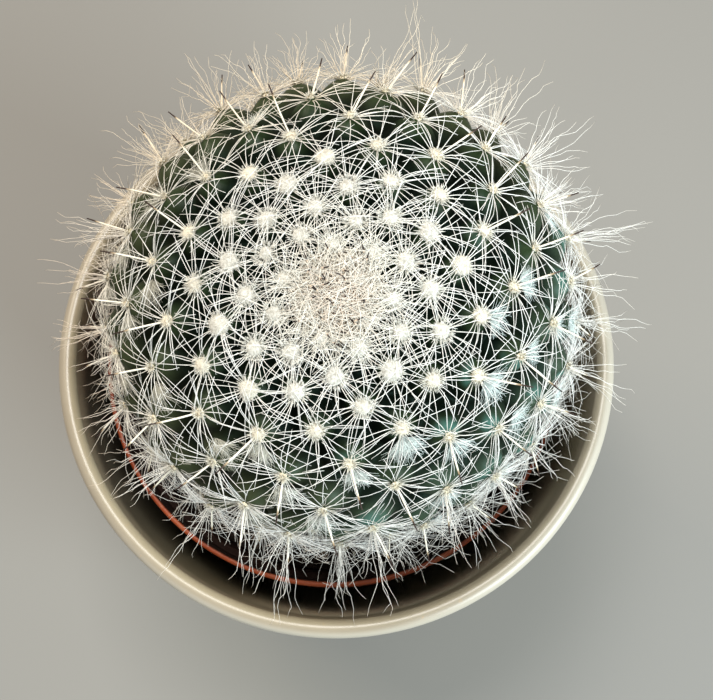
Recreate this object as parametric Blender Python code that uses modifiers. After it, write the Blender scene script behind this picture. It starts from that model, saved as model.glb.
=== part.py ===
"""Old lady cactus in a thin nursery pot, which stands inside a glazed outer pot.

Every length is in metres, +Z points up, and the origin is the middle of the
outer pot's foot, on the surface that it stands on.
"""
import math
import random

import bmesh
import bpy
from mathutils import Matrix, Vector, noise

MM = 0.001
GAP = 0.3 * MM              # clearance between pieces that touch in life

# Outer pot, a tapered glazed cup with a rolled lip and a foot ring
POT_HEIGHT = 88 * MM
POT_RIM_RADIUS = 50 * MM
POT_TAPER = 10 * MM         # how much narrower the wall is just above the foot
POT_TAPER_POWER = 1.15      # 1 is a straight taper, more gives a fuller belly
POT_LIP_RADIUS = 1.6 * MM   # half the thickness of the wall at the lip
POT_WALL_FOOT = 4.0 * MM    # thickness of the wall at the bottom
POT_FLOOR = 6.5 * MM        # height of the inside floor
POT_CORNER = 5 * MM         # rounding where the wall meets the floor
POT_FOOT_RADIUS = 33 * MM
POT_FOOT_WIDTH = 4 * MM
POT_FOOT_HEIGHT = 2.2 * MM
POT_STEPS = 56

# Nursery pot, thin plastic with a stiffening collar
TUB_CENTRE = Vector((-0.6 * MM, 1.8 * MM, 0))
TUB_RIM_HEIGHT = 77 * MM
TUB_RIM_RADIUS = 42.5 * MM
TUB_COLLAR = 9 * MM
TUB_NECK_RADIUS = 40.4 * MM  # just under the collar
TUB_BASE_RADIUS = 29.5 * MM
TUB_WALL = 1.0 * MM
TUB_STEPS = 48
DRAIN_HOLES = 6
DRAIN_RADIUS = 3.5 * MM
DRAIN_CIRCLE = 19 * MM

# Soil
SOIL_HEIGHT = 66 * MM
SOIL_BUMP = 0.9 * MM
SOIL_SEED = 3

# Stem: a low globe, leaning a little towards the front and slightly off centre
STEM_CENTRE = Vector((2.1, 1.3, 100)) * MM
STEM_RADIUS = 39.8 * MM
STEM_FLATNESS = 0.85        # height of the globe over its width
STEM_LEAN_X = math.radians(-3.6)
STEM_LEAN_Y = math.radians(-4.6)
STEM_DRIFT = Vector((-1.1, 3.7, 0)) * MM   # how far the waist sits from the crown's axis
NECK_RADIUS = 20 * MM       # corky base that goes down into the soil
NECK_BOTTOM = 54 * MM
NECK_TOP = 86 * MM
NECK_CENTRE = Vector((3.0, 7.8, 0)) * MM

# Tubercles follow one spiral, each a golden angle on from the last
AREOLES = 148
FIRST_AZIMUTH = math.radians(138.84)
GOLDEN_ANGLE = math.radians(-137.544)
SPIRAL = (5.01, -0.502, 0.078)   # degrees from the crown: root, linear and 3/2 power terms
VALLEY_DEPTH = 0.37         # depth between three tubercles, over their spacing
SADDLE_DEPTH = 0.22         # depth between two tubercles, over their spacing
DEEPEST = 4.2 * MM

# Spines
RADIALS = 5
LOW_RADIALS = 3             # on the areoles under the waist
RADIAL_LENGTH = 8.6 * MM
RADIAL_THICKNESS = 0.28 * MM
CENTRAL_LENGTH = 8.0 * MM
CENTRAL_THICKNESS = 0.40 * MM
HAIR_LENGTH = 15 * MM
HAIR_THICKNESS = 0.30 * MM
HAIR_FROM = 66              # the first areole that carries a long hair
SPINE_ROOT = 2.4 * MM       # how deep a spine starts under its areole
REACH = 49.6 * MM           # no tip stands further out than the outer pot's rim
SPINE_SEED = 11


def clear_scene():
    for thing in list(bpy.data.objects):
        bpy.data.objects.remove(thing, do_unlink=True)


def new_collection(name):
    group = bpy.data.collections.new(name)
    bpy.context.scene.collection.children.link(group)
    return group


def material(name, colour, roughness, metallic=0.0, coat=0.0):
    result = bpy.data.materials.new(name)
    result.use_nodes = True
    shader = result.node_tree.nodes["Principled BSDF"]
    shader.inputs["Base Color"].default_value = (*colour, 1)
    shader.inputs["Roughness"].default_value = roughness
    shader.inputs["Metallic"].default_value = metallic
    shader.inputs["Coat Weight"].default_value = coat
    result.diffuse_color = (*colour, 1)
    return result


def arc(centre, radius, start, end, steps):
    """Points along an arc in a turned profile, in (radius, height)."""
    points = []
    for i in range(steps + 1):
        angle = math.radians(start + (end - start) * i / steps)
        points.append((centre[0] + radius * math.cos(angle), centre[1] + radius * math.sin(angle)))
    return points


def turned(name, profile, steps, finish, group):
    """A solid of revolution about Z from a profile of (radius, height) points."""
    mesh = bpy.data.meshes.new(name)
    corners = [(radius, 0, height) for radius, height in profile]
    mesh.from_pydata(corners, [(i, i + 1) for i in range(len(corners) - 1)], [])
    solid = bpy.data.objects.new(name, mesh)
    group.objects.link(solid)
    screw = solid.modifiers.new("turn", "SCREW")
    screw.axis = "Z"
    screw.angle = math.tau
    screw.steps = screw.render_steps = steps
    screw.use_merge_vertices = True
    screw.merge_threshold = 0.00001
    mesh.materials.append(finish)
    return solid


def realise(solid):
    """Replace an object's mesh by the result of its modifiers."""
    bpy.context.view_layer.update()
    evaluated = solid.evaluated_get(bpy.context.evaluated_depsgraph_get())
    mesh = bpy.data.meshes.new_from_object(evaluated)
    mesh.name = solid.name
    solid.modifiers.clear()
    solid.data = mesh
    return solid


def smooth(solid, angle):
    solid.data.shade_smooth()
    solid.data.set_sharp_from_angle(angle=math.radians(angle))


def cut(solid, cutter):
    cutter.hide_render = True
    cutter.display_type = "WIRE"
    boolean = solid.modifiers.new("cut", "BOOLEAN")
    boolean.operation = "DIFFERENCE"
    boolean.object = cutter


def pot_outside(height):
    """Radius of the outer pot's wall at a height."""
    depth = (POT_HEIGHT - height) / (POT_HEIGHT - POT_FOOT_HEIGHT)
    return POT_RIM_RADIUS - POT_TAPER * max(depth, 0) ** POT_TAPER_POWER


def pot_inside(height):
    depth = (POT_HEIGHT - height) / (POT_HEIGHT - POT_FLOOR)
    wall = 2 * POT_LIP_RADIUS + (POT_WALL_FOOT - 2 * POT_LIP_RADIUS) * depth
    return pot_outside(height) - wall


def tub_outside(height):
    """Radius of the nursery pot's wall at a height, below its collar."""
    base = POT_FLOOR + GAP
    share = (height - base) / (TUB_RIM_HEIGHT - TUB_COLLAR - base)
    return TUB_BASE_RADIUS + (TUB_NECK_RADIUS - TUB_BASE_RADIUS) * share


def build_cachepot(group):
    lip_height = POT_HEIGHT - POT_LIP_RADIUS
    heights = [0.80, 0.58, 0.36, 0.16]
    floor_edge = pot_inside(POT_FLOOR + POT_CORNER) - POT_CORNER
    profile = [(0, POT_FLOOR), (floor_edge * 0.5, POT_FLOOR)]
    profile += arc((floor_edge, POT_FLOOR + POT_CORNER), POT_CORNER, -90, 0, 3)
    profile += [(pot_inside(POT_HEIGHT * share), POT_HEIGHT * share) for share in reversed(heights)]
    profile += arc((POT_RIM_RADIUS - POT_LIP_RADIUS, lip_height), POT_LIP_RADIUS, 180, 0, 6)
    profile += [(pot_outside(POT_HEIGHT * share), POT_HEIGHT * share) for share in heights]
    heel = pot_outside(POT_FOOT_HEIGHT + POT_CORNER)
    profile += [(heel, POT_FOOT_HEIGHT + POT_CORNER), (heel - 2.2 * MM, POT_FOOT_HEIGHT + 1.6 * MM)]
    profile += [(POT_FOOT_RADIUS + 0.4 * MM, POT_FOOT_HEIGHT), (POT_FOOT_RADIUS, 0)]
    profile += [(POT_FOOT_RADIUS - POT_FOOT_WIDTH, 0), (POT_FOOT_RADIUS - POT_FOOT_WIDTH, POT_FOOT_HEIGHT)]
    profile += [(0, POT_FOOT_HEIGHT)]
    glaze = material("cream glaze", (0.72, 0.63, 0.51), 0.16, coat=0.5)
    smooth(realise(turned("cachepot", profile, POT_STEPS, glaze, group)), 35)


def build_nursery_pot(group, cutters):
    base = POT_FLOOR + GAP
    collar = TUB_RIM_HEIGHT - TUB_COLLAR
    bead = TUB_WALL / 2
    profile = [(0, base + TUB_WALL), (TUB_BASE_RADIUS - TUB_WALL - MM, base + TUB_WALL)]
    profile += [(tub_outside(base + 2 * MM) - TUB_WALL, base + 2 * MM)]
    profile += [(TUB_NECK_RADIUS - TUB_WALL, collar), (TUB_RIM_RADIUS - 1.4 * TUB_WALL, collar + 1.2 * MM)]
    profile += [(TUB_RIM_RADIUS - TUB_WALL, TUB_RIM_HEIGHT - bead)]
    profile += arc((TUB_RIM_RADIUS - bead, TUB_RIM_HEIGHT - bead), bead, 150, 0, 3)
    profile += [(TUB_RIM_RADIUS - 0.3 * MM, collar), (TUB_NECK_RADIUS, collar - 0.8 * MM)]
    profile += [(tub_outside(base + 2 * MM), base + 2 * MM), (TUB_BASE_RADIUS - MM, base), (0, base)]
    plastic = material("terracotta plastic", (0.60, 0.17, 0.06), 0.42)
    tub = turned("nursery_pot", profile, TUB_STEPS, plastic, group)
    tub.location = TUB_CENTRE
    mesh = bpy.data.meshes.new("drain holes")
    holes = bmesh.new()
    for i in range(DRAIN_HOLES):
        turn = Matrix.Rotation(math.tau * i / DRAIN_HOLES, 4, "Z")
        place = turn @ Matrix.Translation((DRAIN_CIRCLE, 0, base))
        bmesh.ops.create_cone(holes, cap_ends=True, segments=14, radius1=DRAIN_RADIUS,
                              radius2=DRAIN_RADIUS, depth=6 * TUB_WALL, matrix=place)
    holes.to_mesh(mesh)
    holes.free()
    cutter = bpy.data.objects.new("drain holes", mesh)
    cutter.location = TUB_CENTRE
    cutters.objects.link(cutter)
    cut(tub, cutter)
    smooth(realise(tub), 35)


def neck_shape(name, spare, material_slot=None):
    """The stem's corky base, or with some spare width the hole that it stands in."""
    mesh = bpy.data.meshes.new(name)
    shape = bmesh.new()
    height = NECK_TOP - NECK_BOTTOM + spare
    middle = NECK_CENTRE + Vector((0, 0, NECK_TOP - height / 2))
    bmesh.ops.create_cone(shape, cap_ends=True, segments=24, radius1=0.9 * NECK_RADIUS + spare,
                          radius2=NECK_RADIUS + spare, depth=height, matrix=Matrix.Translation(middle))
    shape.to_mesh(mesh)
    shape.free()
    if material_slot:
        mesh.materials.append(material_slot)
    return bpy.data.objects.new(name, mesh)


def build_soil(group, cutters):
    bottom = POT_FLOOR + 2 * GAP + TUB_WALL
    inset = TUB_WALL + GAP
    profile = [(0, SOIL_HEIGHT)]
    profile += [(radius * MM, SOIL_HEIGHT) for radius in (10, 17, 22, 26, 30, 33.5, 36.5)]
    profile += [(tub_outside(SOIL_HEIGHT - MM) - inset, SOIL_HEIGHT - MM)]
    profile += [(tub_outside(bottom + MM) - inset - MM, bottom + MM)]
    profile += [(TUB_BASE_RADIUS - inset - 2 * MM, bottom), (0, bottom)]
    earth = material("dark soil", (0.055, 0.038, 0.028), 0.95)
    soil = turned("soil", profile, TUB_STEPS, earth, group)
    realise(soil)
    for vertex in soil.data.vertices:
        if vertex.co.z > SOIL_HEIGHT - 0.1 * MM:
            lump = noise.noise(vertex.co / (7 * MM) + Vector((SOIL_SEED, 0, 0)))
            vertex.co.z += SOIL_BUMP * (1.6 * lump - 0.4)
    soil.location = TUB_CENTRE
    hole = neck_shape("stem hole", GAP)
    cutters.objects.link(hole)
    cut(soil, hole)
    smooth(realise(soil), 50)


def stem_point(polar, azimuth):
    """A point of the stem's skin, from the angle off its crown and round its axis."""
    across = STEM_RADIUS * math.sin(polar)
    point = Vector((across * math.cos(azimuth), across * math.sin(azimuth),
                    STEM_RADIUS * STEM_FLATNESS * math.cos(polar)))
    point += STEM_DRIFT * (1 - max(math.cos(polar), 0))
    return lean(point) + STEM_CENTRE


def lean(vector):
    return Matrix.Rotation(-STEM_LEAN_Y, 3, "X") @ (Matrix.Rotation(STEM_LEAN_X, 3, "Y") @ vector)


def stem_normal(polar, azimuth):
    """Outward direction of the stem's skin at the same two angles."""
    across = math.sin(polar) / STEM_RADIUS
    normal = Vector((across * math.cos(azimuth), across * math.sin(azimuth),
                     math.cos(polar) / (STEM_RADIUS * STEM_FLATNESS)))
    return lean(normal.normalized())


def areole_angles(index):
    count = index + 0.5
    polar = SPIRAL[0] * count ** 0.5 + SPIRAL[1] * count + SPIRAL[2] * count ** 1.5
    return math.radians(polar), FIRST_AZIMUTH + GOLDEN_ANGLE * index


def angles_of(direction):
    return math.acos(max(-1, min(1, direction.z))), math.atan2(direction.y, direction.x)


def build_stem_skin(name, finishes):
    """Tubercles: a net over the areoles, drawn in between each two and each three of them."""
    net = bmesh.new()
    for index in range(AREOLES):
        polar, azimuth = areole_angles(index)
        net.verts.new((math.sin(polar) * math.cos(azimuth), math.sin(polar) * math.sin(azimuth), math.cos(polar)))
    bmesh.ops.convex_hull(net, input=net.verts)
    halved = bmesh.ops.bisect_edges(net, edges=net.edges, cuts=1)
    saddles = {item for item in halved["geom_split"] if isinstance(item, bmesh.types.BMVert)}
    tips = set(net.verts) - saddles
    bmesh.ops.poke(net, faces=net.faces)
    last = areole_angles(AREOLES - 1)[0]
    moves = []
    for vertex in net.verts:
        polar, azimuth = angles_of(vertex.co.normalized())
        neighbours = [edge.other_vert(vertex).co for edge in vertex.link_edges]
        spacing = 2 * STEM_RADIUS * sum((co - vertex.co).length for co in neighbours) / len(neighbours)
        depth = 0
        if vertex in saddles:
            depth = SADDLE_DEPTH * spacing
        elif vertex not in tips:
            depth = VALLEY_DEPTH * spacing
        if polar > last:
            depth = 0
        moves.append((vertex, stem_point(polar, azimuth) - min(depth, DEEPEST) * stem_normal(polar, azimuth)))
    for vertex, place in moves:
        vertex.co = place
    bmesh.ops.recalc_face_normals(net, faces=net.faces)
    mesh = bpy.data.meshes.new(name)
    net.to_mesh(mesh)
    net.free()
    for finish in finishes:
        mesh.materials.append(finish)
    return bpy.data.objects.new(name, mesh)


def is_clear(start, direction, length):
    """Whether a spine stays inside the pots' rims and above the soil."""
    for share in (0.35, 0.7, 1.0):
        point = start + direction * (length * share)
        across = Vector((point.x, point.y)).length
        beside = Vector((point.x - TUB_CENTRE.x, point.y - TUB_CENTRE.y)).length
        if across > REACH:
            return False
        if point.z < POT_HEIGHT + 1.2 * MM and across > pot_inside(point.z) - 1.2 * MM:
            return False
        if point.z < TUB_RIM_HEIGHT + 1.2 * MM and beside > TUB_NECK_RADIUS - TUB_WALL - 1.2 * MM:
            return False
        if point.z < SOIL_HEIGHT + 2.5 * MM:
            return False
    return True


def settle(start, direction, length):
    """Turn a spine upwards, then shorten it, until it is clear of the pots."""
    for turn in range(5):
        bent = (direction + Vector((0, 0, 0.28 * turn))).normalized()
        if is_clear(start, bent, length):
            return bent, length
    for share in (0.8, 0.6, 0.45):
        for turn in range(5):
            bent = (direction + Vector((0, 0, 0.28 * turn))).normalized()
            if is_clear(start, bent, length * share):
                return bent, length * share
    return None, 0


def add_needle(group, mesh, start, direction, length, thickness, roll):
    """One three-sided spine: a unit needle along +Z, scaled and turned into place."""
    needle = bpy.data.objects.new("spine", mesh)
    turn = direction.to_track_quat("Z", "Y").to_matrix().to_4x4() @ Matrix.Rotation(roll, 4, "Z")
    size = Matrix.Diagonal((thickness, thickness, length, 1))
    needle.matrix_world = Matrix.Translation(start) @ turn @ size
    group.objects.link(needle)


def needle_mesh(finishes):
    mesh = bpy.data.meshes.new("needle")
    shape = bmesh.new()
    bmesh.ops.create_cone(shape, cap_ends=True, segments=3, radius1=1, radius2=0, depth=1,
                          matrix=Matrix.Translation((0, 0, 0.5)))
    for face in shape.faces:
        face.material_index = 1
    shape.to_mesh(mesh)
    shape.free()
    for finish in finishes:
        mesh.materials.append(finish)
    return mesh


def plant_spines(group, mesh):
    draw = random.Random(SPINE_SEED)
    for index in range(AREOLES):
        polar, azimuth = areole_angles(index)
        normal = stem_normal(polar, azimuth)
        tip = stem_point(polar, azimuth)
        outward = (stem_point(polar + 0.05, azimuth) - tip).normalized()
        sideways = normal.cross(outward).normalized()
        young = max(0, 1 - polar / 0.5)
        first = draw.uniform(0, math.tau)
        radials = RADIALS if polar < math.pi / 2 else LOW_RADIALS
        for i in range(radials):
            angle = first + math.tau * (i + draw.uniform(-0.2, 0.2)) / radials
            rise = math.radians(draw.uniform(14, 26) + 34 * young)
            across = math.cos(angle) * outward + math.sin(angle) * sideways
            heading = math.cos(rise) * across + math.sin(rise) * normal
            start = tip - SPINE_ROOT * normal + 0.4 * MM * across
            length = RADIAL_LENGTH * draw.uniform(0.88, 1.1) * (1 - 0.38 * young) + SPINE_ROOT
            heading, length = settle(start, heading, length)
            if heading:
                add_needle(group, mesh, start, heading, length, RADIAL_THICKNESS, draw.uniform(0, 2))
        rise = math.radians(draw.uniform(38, 55) + 20 * young)
        side = draw.uniform(-0.5, 0.5)
        heading = math.cos(rise) * (outward + side * sideways).normalized() + math.sin(rise) * normal
        start = tip - SPINE_ROOT * normal
        length = CENTRAL_LENGTH * draw.uniform(0.85, 1.1) * (1 - 0.35 * young) + SPINE_ROOT
        heading, length = settle(start, heading, length)
        if heading:
            add_needle(group, mesh, start, heading, length, CENTRAL_THICKNESS, draw.uniform(0, 2))
        if index >= HAIR_FROM:
            swing = draw.uniform(-0.7, 0.7)
            heading = (0.55 * normal + 0.5 * outward + swing * sideways + Vector((0, 0, 0.5))).normalized()
            start = stem_point(polar - 0.12, azimuth) - DEEPEST * 0.9 * normal
            heading, length = settle(start, heading, HAIR_LENGTH * draw.uniform(0.85, 1.1) + DEEPEST)
            if heading:
                add_needle(group, mesh, start, heading, length, HAIR_THICKNESS, draw.uniform(0, 2))


def build_cactus(group):
    finishes = (material("dark green skin", (0.045, 0.115, 0.062), 0.5),
                material("white spines", (0.86, 0.83, 0.74), 0.55))
    stem = build_stem_skin("cactus", finishes)
    group.objects.link(stem)
    repeats = new_collection("spines and neck")
    repeats.objects.link(neck_shape("neck", 0, finishes[0]))
    plant_spines(repeats, needle_mesh(finishes))
    fuse = stem.modifiers.new("fuse", "BOOLEAN")
    fuse.operation = "UNION"
    fuse.operand_type = "COLLECTION"
    fuse.collection = repeats
    fuse.solver = "EXACT"
    realise(stem)
    for thing in list(repeats.objects):
        bpy.data.objects.remove(thing, do_unlink=True)
    bpy.data.collections.remove(repeats)


def main():
    clear_scene()
    group = new_collection("potted old lady cactus")
    cutters = new_collection("cutters")
    build_cachepot(group)
    build_nursery_pot(group, cutters)
    build_soil(group, cutters)
    build_cactus(group)


main()
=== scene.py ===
import math

import bmesh
import bpy
import numpy as np
from mathutils import Matrix, Vector, noise


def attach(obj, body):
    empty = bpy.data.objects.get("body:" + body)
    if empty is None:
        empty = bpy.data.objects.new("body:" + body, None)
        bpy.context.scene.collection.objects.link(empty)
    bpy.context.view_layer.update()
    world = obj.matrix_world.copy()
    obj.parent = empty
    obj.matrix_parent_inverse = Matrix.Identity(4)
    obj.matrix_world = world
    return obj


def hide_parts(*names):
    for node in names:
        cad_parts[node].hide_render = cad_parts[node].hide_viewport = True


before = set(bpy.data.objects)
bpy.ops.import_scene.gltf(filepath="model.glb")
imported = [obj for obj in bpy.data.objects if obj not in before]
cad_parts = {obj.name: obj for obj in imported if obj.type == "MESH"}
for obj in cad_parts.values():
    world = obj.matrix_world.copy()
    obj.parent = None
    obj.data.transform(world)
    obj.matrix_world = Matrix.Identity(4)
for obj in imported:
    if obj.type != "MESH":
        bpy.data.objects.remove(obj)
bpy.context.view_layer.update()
mm = 0.001
scene = bpy.context.scene
print("frame loaded:", sorted(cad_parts))


# Node trees

def operators(operation):
    # one of Python's operators and its reflected form
    return (lambda self, other: self.combined(operation, self, other),
            lambda self, other: self.combined(operation, other, self))


class Wire:
    # One socket of a node tree, which Python's own operators work on.
    def __init__(self, graph, socket):
        self.graph = graph
        self.socket = socket

    def out(self, name):
        return Wire(self.graph, self.socket.node.outputs[name])

    def maths(self, operation, *others):
        return self.graph.node("ShaderNodeMath", {"operation": operation}, [self, *others])

    def vectors(self, operation, *others, output=0):
        return self.graph.node("ShaderNodeVectorMath", {"operation": operation}, [self, *others], output)

    def split(self):
        x = self.graph.node("ShaderNodeSeparateXYZ", None, [self])
        return x, x.out("Y"), x.out("Z")

    def between(self, low, high):
        # 0 below low, 1 above high, smooth in between
        smooth = {"interpolation_type": "SMOOTHSTEP"}
        return self.graph.node("ShaderNodeMapRange", smooth, [self, low, high])

    def mix(self, first, second):
        # the first colour where this is 0, the second where it is 1
        first, second = [value if isinstance(value, Wire) else (*value, 1) for value in (first, second)]
        return self.graph.node("ShaderNodeMix", {"data_type": "RGBA"}, {0: self, 6: first, 7: second}, 2)

    def ramp(self, *stops):
        return self.graph.node("ShaderNodeValToRGB", {"stops": stops}, [self])

    def combined(self, operation, first, second):
        # a number only ever multiplies a vector
        vectors = isVector(first) + isVector(second)
        if vectors == 1:
            vector, number = (first, second) if isVector(first) else (second, first)
            return self.graph.node("ShaderNodeVectorMath", {"operation": "SCALE"}, {0: vector, 3: number})
        kind = "ShaderNodeVectorMath" if vectors else "ShaderNodeMath"
        return self.graph.node(kind, {"operation": operation}, [first, second])

    __add__, __radd__ = operators("ADD")
    __sub__, __rsub__ = operators("SUBTRACT")
    __mul__, __rmul__ = operators("MULTIPLY")
    __truediv__, __rtruediv__ = operators("DIVIDE")
    __pow__, __rpow__ = operators("POWER")


def isVector(value):
    if isinstance(value, Wire):
        return value.socket.type in ("VECTOR", "RGBA")
    return isinstance(value, tuple)


class Graph:
    # A node tree under construction.
    def __init__(self, tree):
        self.tree = tree

    def node(self, kind, settings=None, values=(), output=0):
        made = self.tree.nodes.new(kind)
        for key, value in (settings or {}).items():
            if key == "stops":
                stops = made.color_ramp.elements
                for i, (position, colour) in enumerate(value):
                    stop = stops[i] if i < len(stops) else stops.new(position)
                    stop.position = position
                    stop.color = (*colour, 1)
            else:
                setattr(made, key, value)
        for key, value in values.items() if isinstance(values, dict) else enumerate(values):
            if isinstance(value, Wire):
                self.tree.links.new(value.socket, made.inputs[key])
            else:
                made.inputs[key].default_value = value
        return Wire(self, made.outputs[output]) if made.outputs else None


class Finish(Graph):
    # A material's tree, round its Principled shader.
    def __init__(self, title, values):
        self.material = bpy.data.materials.new(title)
        self.material.use_nodes = True
        super().__init__(self.material.node_tree)
        self.shader = self.tree.nodes["Principled BSDF"]
        for name, value in values.items():
            self.shader.inputs[name].default_value = value
        self.where = self.node("ShaderNodeTexCoord", output="Object")

    def own(self, name):
        return self.node("ShaderNodeAttribute", {"attribute_name": name}, (), "Fac")

    def noise(self, scale, detail=3.0, roughness=0.55, stretch=None):
        where = self.where
        if stretch:
            where = self.node("ShaderNodeMapping", None, {"Vector": where, "Scale": stretch})
        values = {"Vector": where, "Scale": scale, "Detail": detail, "Roughness": roughness}
        return self.node("ShaderNodeTexNoise", None, values)

    def spot(self):
        # X, Y and Z in millimetres
        return (self.where * (1 / mm)).split()

    def toward(self, direction):
        # how far a place lies to one side of the pot's axis, in millimetres
        return self.where.vectors("DOT_PRODUCT", direction, output="Value") * (1 / mm)

    def feed(self, name, wire):
        self.tree.links.new(wire.socket, self.shader.inputs[name])

    def bump(self, height, strength, distance):
        values = {"Height": height, "Strength": strength, "Distance": distance}
        self.feed("Normal", self.node("ShaderNodeBump", None, values))

    def tint(self, share, colour):
        before = Wire(self, self.shader.inputs["Base Color"].links[0].from_socket)
        self.feed("Base Color", share.mix(before, colour))

    def tintYoung(self, colour, share):
        self.tint(self.own("young") * share, colour)

    def tintAcross(self, direction, low, high, colour, share=1.0, until=None):
        # a colour of painted light and shade, laid on from low to high millimetres toward one side, but not
        # past "until" along a spine
        share = self.toward(direction).between(low, high) * share
        if until:
            share = share * (1 - self.own("along").between(until, until + 0.06))
        self.tint(share, colour)


class Growth(Graph):
    # A Geometry Nodes tree with named inputs.
    def __init__(self, title, inputs):
        super().__init__(bpy.data.node_groups.new(title, "GeometryNodeTree"))
        sockets = self.tree.interface
        sockets.new_socket("Geometry", in_out="INPUT", socket_type="NodeSocketGeometry")
        sockets.new_socket("Geometry", in_out="OUTPUT", socket_type="NodeSocketGeometry")
        for key, value in inputs.items():
            kind = "NodeSocketInt" if isinstance(value, int) else "NodeSocketFloat"
            sockets.new_socket(key, in_out="INPUT", socket_type=kind).default_value = value
        entry = self.node("NodeGroupInput")
        self.given = {name: entry.out(name) for name in ("Geometry", *inputs)}

    def attribute(self, name, kind="FLOAT"):
        return self.node("GeometryNodeInputNamedAttribute", {"data_type": kind}, {"Name": name})

    def direction(self, name):
        return self.attribute(name, "FLOAT_VECTOR")

    def store(self, geometry, name, value):
        kind = "FLOAT_VECTOR" if isVector(value) else "FLOAT"
        return self.node("GeometryNodeStoreNamedAttribute", {"data_type": kind, "domain": "POINT"},
                         {"Geometry": geometry, "Name": name, "Value": value})

    def draw(self, low, high, offset):
        # a random number for each point, from the tree's own seed
        return self.node("FunctionNodeRandomValue", {"data_type": "FLOAT"},
                         {2: low, 3: high, 8: self.given["Seed"] + offset}, 1)

    def vector(self, x, y, z):
        return self.node("ShaderNodeCombineXYZ", None, [x, y, z])

    def wander(self, where, scale, detail):
        # a vector of noise about zero
        values = {"Vector": where, "Scale": scale, "Detail": detail}
        return self.node("ShaderNodeTexNoise", None, values, "Color") - (0.5, 0.5, 0.5)

    def end(self, geometry, finish):
        smooth = self.node("GeometryNodeSetShadeSmooth", None, {"Geometry": geometry})
        real = self.node("GeometryNodeRealizeInstances", None, {"Geometry": smooth})
        values = {"Geometry": real, "Material": finish.material}
        self.node("NodeGroupOutput", None, [self.node("GeometryNodeSetMaterial", None, values)])
        return self.tree


# Meshes and objects

def added(name, data):
    made = bpy.data.objects.new(name, data)
    scene.collection.objects.link(made)
    return made


def meshOf(name, shape):
    mesh = bpy.data.meshes.new(name)
    shape.to_mesh(mesh)
    shape.free()
    return mesh


def plainMesh(piece):
    # Keep what an object's modifiers make as its own mesh.
    mesh = bpy.data.meshes.new_from_object(piece.evaluated_get(bpy.context.evaluated_depsgraph_get()))
    piece.modifiers.clear()
    piece.data = mesh
    mesh.name = piece.name
    return mesh


def pointMesh(where, **values):
    # Bare points that carry what the trees read.
    mesh = bpy.data.meshes.new("points")
    mesh.from_pydata([tuple(p) for p in where], [], [])
    plain = {"young": 0.0, "turn": 0.5, "amount": 1.0, "reach": 1.0, "ring": 1.0, "thick": 1.0, "open": 1.0}
    for key, value in {**plain, **values}.items():
        value = np.asarray(value, np.float32)
        if value.ndim == 2:
            mesh.attributes.new(key, "FLOAT_VECTOR", "POINT").data.foreach_set("vector", value.ravel())
        else:
            value = np.broadcast_to(value, len(where)).copy()
            mesh.attributes.new(key, "FLOAT", "POINT").data.foreach_set("value", value)
    return mesh


def grow(name, points, tree, settings):
    # Run a tree on a mesh of points.
    piece = added(name, points)
    modifier = piece.modifiers.new("grow", "NODES")
    modifier.node_group = tree
    for item in tree.interface.items_tree:
        if item.in_out == "INPUT" and item.name in settings:
            modifier[item.identifier] = settings[item.name]
    mesh = plainMesh(piece)
    kept = ("along", "shade", "young", "sharp_face", "material_index")
    spare = [a.name for a in mesh.attributes
             if not (a.is_required or a.name in kept or a.name[0] == ".")]
    for attribute in spare:
        mesh.attributes.remove(mesh.attributes[attribute])
    print(name, "has", sum(len(face.vertices) - 2 for face in mesh.polygons), "triangles")
    return piece


def turned(name, profile, steps, finish, centre=(0, 0)):
    # A profile of (radius, height) pairs in millimetres, turned about Z.
    mesh = bpy.data.meshes.new(name)
    edges = [(i, i + 1) for i in range(len(profile) - 1)]
    mesh.from_pydata([(r * mm, 0, z * mm) for r, z in profile], edges, [])
    piece = added(name, mesh)
    screw = piece.modifiers.new("turn", "SCREW")
    screw.axis = "Z"
    screw.steps = screw.render_steps = steps
    screw.use_merge_vertices = True
    screw.merge_threshold = 0.01 * mm
    return applied(piece, finish, centre)


def applied(piece, finish, centre):
    mesh = plainMesh(piece)
    mesh.transform(Matrix.Translation((centre[0] * mm, centre[1] * mm, 0)))
    mesh.materials.clear()
    mesh.materials.append(finish.material)
    mesh.shade_smooth()
    mesh.set_sharp_from_angle(angle=math.radians(40))
    return piece


def arc(centre, radius, start, end, steps):
    angles = [math.radians(start + (end - start) * i / steps) for i in range(steps + 1)]
    return [(centre[0] + radius * math.cos(a), centre[1] + radius * math.sin(a)) for a in angles]


def unit(vectors):
    return vectors / np.linalg.norm(vectors, axis=-1, keepdims=True)


def place(piece, slot, *nodes):
    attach(piece, "root")
    if nodes:
        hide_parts(*nodes)


# Outer pot, in millimetres

outerPot = {
    "height": 88, "rimRadius": 50, "taper": 10, "taperPower": 1.15,
    "lipRadius": 1.6, "footWall": 4.0, "floor": 6.5, "corner": 5, "heelRadius": 4.6,
    "footRadius": 33, "footWidth": 4, "footHeight": 2.2,
    "clearance": 0.7,    # that spines and hairs keep from its wall
    "steps": 160,
}


def potOutside(height):
    depth = (outerPot["height"] - height) / (outerPot["height"] - outerPot["footHeight"])
    return outerPot["rimRadius"] - outerPot["taper"] * max(depth, 0) ** outerPot["taperPower"]


def potInside(height):
    depth = (outerPot["height"] - height) / (outerPot["height"] - outerPot["floor"])
    lip = 2 * outerPot["lipRadius"]
    return potOutside(height) - lip - (outerPot["footWall"] - lip) * depth


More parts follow.
